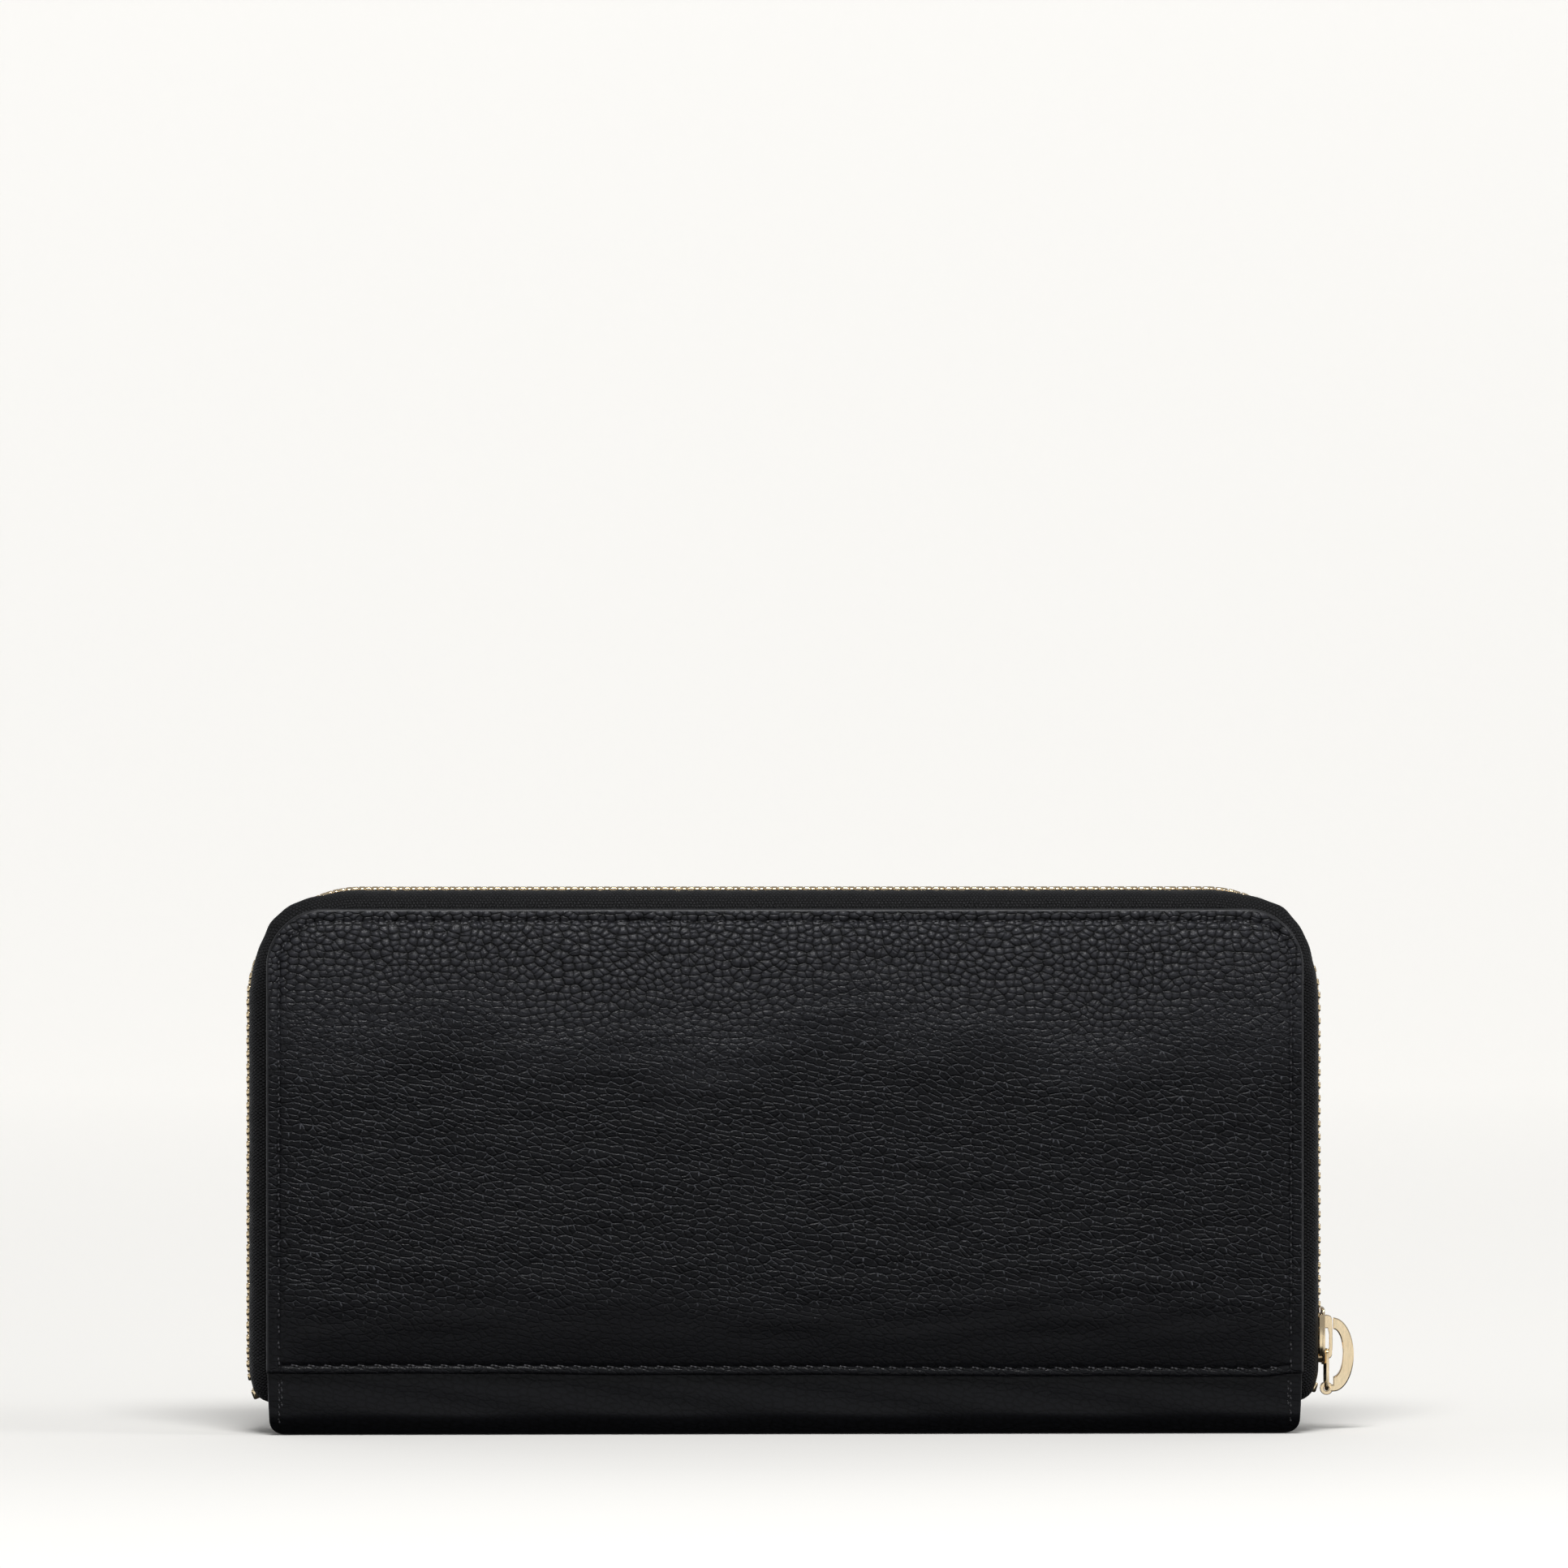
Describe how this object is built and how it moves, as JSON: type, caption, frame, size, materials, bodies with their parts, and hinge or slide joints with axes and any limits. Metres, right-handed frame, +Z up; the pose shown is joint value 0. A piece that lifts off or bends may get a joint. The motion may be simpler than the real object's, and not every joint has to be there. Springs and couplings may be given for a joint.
{
  "type": "zip around wallet",
  "caption": "Long zip-around wallet standing on its spine: two padded covers open like a book round a zipped coin pocket, card slots and gussets.",
  "frame": {"origin": "middle of the flat underside of the spine that the wallet stands on", "axes": "+X along the spine towards the end with the zip pull, +Y from the pictured front cover to the rear cover, +Z up to the zip's top run"},
  "size_m": [0.2021, 0.026, 0.0993],
  "materials": {
    "leather": "black pebbled leather, semi-matt",
    "lining": "charcoal twill",
    "zip_tape": "black woven tape",
    "gold_metal": "polished pale gold plating",
    "board": "bonded fibreboard, matt",
    "padding": "thin felted padding"
  },
  "bodies": {
    "base": {"spine_wrap": "leather", "spine_board": "board", "coin_pocket_front_wall": "leather", "coin_pocket_rear_wall": "leather", "coin_pocket_bag": "lining", "coin_zip_front_tape": "zip_tape", "coin_zip_rear_tape": "zip_tape", "coin_zip_front_teeth": "gold_metal", "coin_zip_rear_teeth": "gold_metal", "coin_zip_stops": "gold_metal", "front_left_gusset": "lining", "front_right_gusset": "lining", "rear_left_gusset": "lining", "rear_right_gusset": "lining"},
    "front_cover": {"front_leather": "leather", "front_padding": "padding", "front_board": "board", "front_lining": "lining", "front_card_slot_1": "leather", "front_card_slot_2": "leather", "front_card_slot_3": "leather", "front_zip_tape": "zip_tape", "front_zip_teeth": "gold_metal", "front_zip_stops": "gold_metal"},
    "rear_cover": {"rear_leather": "leather", "rear_padding": "padding", "rear_board": "board", "rear_lining": "lining", "rear_card_slot_1": "leather", "rear_card_slot_2": "leather", "rear_card_slot_3": "leather", "rear_zip_tape": "zip_tape", "rear_zip_teeth": "gold_metal", "rear_zip_stops": "gold_metal"},
    "zip_slider": {"zip_slider_body": "gold_metal", "zip_slider_bail": "gold_metal"},
    "pull_link": {"pull_link": "gold_metal"},
    "pull_crescent": {"pull_crescent": "gold_metal"},
    "coin_slider": {"coin_slider_body": "gold_metal", "coin_slider_bail": "gold_metal"},
    "coin_pull": {"coin_pull_tab": "gold_metal"}
  },
  "joints": [
    {"name": "front_cover_hinge", "type": "hinge", "parent": "base", "child": "front_cover", "pos_m": [0, -0.0104, 0.004], "axis": [1, 0, 0], "range_deg": [0, 20], "deforming": ["front_zip_tape", "front_zip_teeth", "spine_wrap", "front_left_gusset", "front_right_gusset"]},
    {"name": "rear_cover_hinge", "type": "hinge", "parent": "base", "child": "rear_cover", "pos_m": [0, 0.0104, 0.004], "axis": [-1, 0, 0], "range_deg": [0, 20], "deforming": ["rear_left_gusset", "rear_right_gusset"]},
    {"name": "zip_slider_travel", "type": "slide", "parent": "rear_cover", "child": "zip_slider", "axis": [0, 0, 1], "range_m": [0, 0.055], "deforming": ["rear_zip_tape", "rear_zip_teeth"]},
    {"name": "pull_link_swing", "type": "hinge", "parent": "zip_slider", "child": "pull_link", "pos_m": [0.09912, 0, 0.0145], "axis": [0, -1, 0], "range_deg": [0, 100]},
    {"name": "pull_crescent_swing", "type": "hinge", "parent": "pull_link", "child": "pull_crescent", "pos_m": [0.09912, 0, 0.0076], "axis": [0, 1, 0], "range_deg": [0, 180]},
    {"name": "coin_slider_travel", "type": "slide", "parent": "base", "child": "coin_slider", "axis": [1, 0, 0], "range_m": [0, 0.14], "deforming": ["coin_zip_front_tape", "coin_zip_rear_tape", "coin_zip_front_teeth", "coin_zip_rear_teeth"]},
    {"name": "coin_pull_swing", "type": "hinge", "parent": "coin_slider", "child": "coin_pull", "pos_m": [-0.074, 0, 0.083], "axis": [0, -1, 0], "range_deg": [0, 170]}
  ],
  "couplings": [
    {"joint": "pull_crescent_swing", "follows": "pull_link_swing", "ratio": 1.8}
  ]
}
